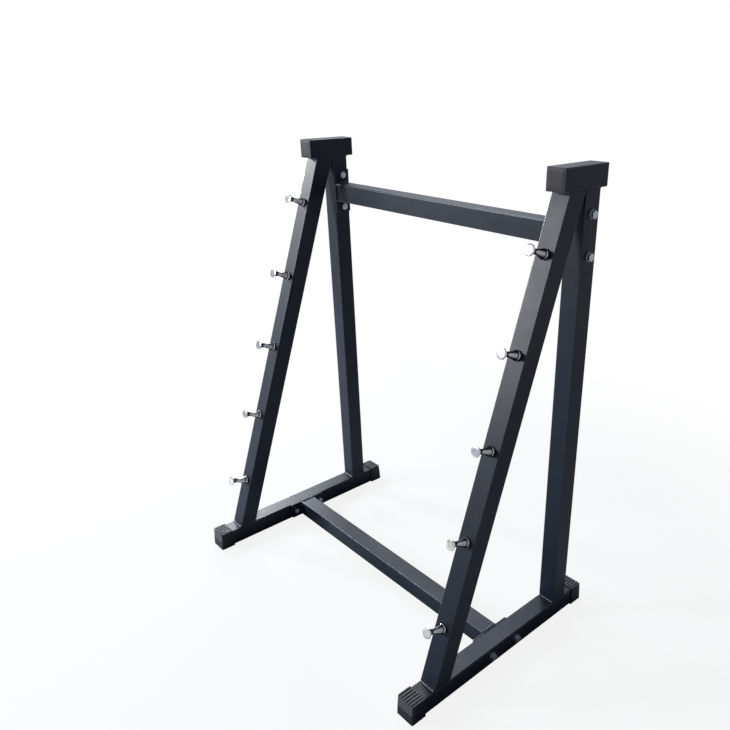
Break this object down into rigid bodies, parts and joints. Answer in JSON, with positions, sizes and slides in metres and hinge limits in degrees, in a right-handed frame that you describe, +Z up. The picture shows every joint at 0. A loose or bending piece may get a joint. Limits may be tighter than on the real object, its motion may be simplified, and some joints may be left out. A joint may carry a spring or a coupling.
{
  "type": "barbell storage rack",
  "caption": "free-standing steel rack whose leaning front posts carry spool-shaped pegs that hold barbells across welded side frames joined by bolted crossbars",
  "frame": {"origin": "on the floor, in the middle of the rack's width and depth", "axes": "+X to the right as seen from the front, +Y to the back, +Z up"},
  "size_m": [0.976, 0.64, 1.198],
  "materials": {
    "black_paint": "semi-gloss black powder coat on welded square tube",
    "chrome": "polished chrome on turned pegs",
    "zinc": "bright zinc-plated hex fasteners",
    "black_plastic": "satin black moulded caps and plugs"
  },
  "bodies": {
    "root": {"foot_tube_left": "black_paint", "front_post_left": "black_paint", "rear_upright_left": "black_paint", "top_tube_left": "black_paint", "peg_left_1": "chrome", "peg_left_2": "chrome", "peg_left_3": "chrome", "peg_left_4": "chrome", "peg_left_5": "chrome", "foot_cap_left_front": "black_plastic", "foot_cap_left_rear": "black_plastic", "top_plug_left_front": "black_plastic", "top_plug_left_rear": "black_plastic", "upper_end_plate_left": "black_paint", "lower_end_plate_left": "black_paint", "bolt_upper_left_top": "zinc", "washer_upper_left_top": "zinc", "nut_upper_left_top": "zinc", "bolt_upper_left_bottom": "zinc", "washer_upper_left_bottom": "zinc", "nut_upper_left_bottom": "zinc", "bolt_lower_left_front": "zinc", "washer_lower_left_front": "zinc", "nut_lower_left_front": "zinc", "bolt_lower_left_rear": "zinc", "washer_lower_left_rear": "zinc", "nut_lower_left_rear": "zinc", "foot_tube_right": "black_paint", "front_post_right": "black_paint", "rear_upright_right": "black_paint", "top_tube_right": "black_paint", "peg_right_1": "chrome", "peg_right_2": "chrome", "peg_right_3": "chrome", "peg_right_4": "chrome", "peg_right_5": "chrome", "foot_cap_right_front": "black_plastic", "foot_cap_right_rear": "black_plastic", "top_plug_right_front": "black_plastic", "top_plug_right_rear": "black_plastic", "upper_end_plate_right": "black_paint", "lower_end_plate_right": "black_paint", "bolt_upper_right_top": "zinc", "washer_upper_right_top": "zinc", "nut_upper_right_top": "zinc", "bolt_upper_right_bottom": "zinc", "washer_upper_right_bottom": "zinc", "nut_upper_right_bottom": "zinc", "bolt_lower_right_front": "zinc", "washer_lower_right_front": "zinc", "nut_lower_right_front": "zinc", "bolt_lower_right_rear": "zinc", "washer_lower_right_rear": "zinc", "nut_lower_right_rear": "zinc", "upper_crossbar": "black_paint", "lower_crossbar": "black_paint"}
  },
  "joints": []
}
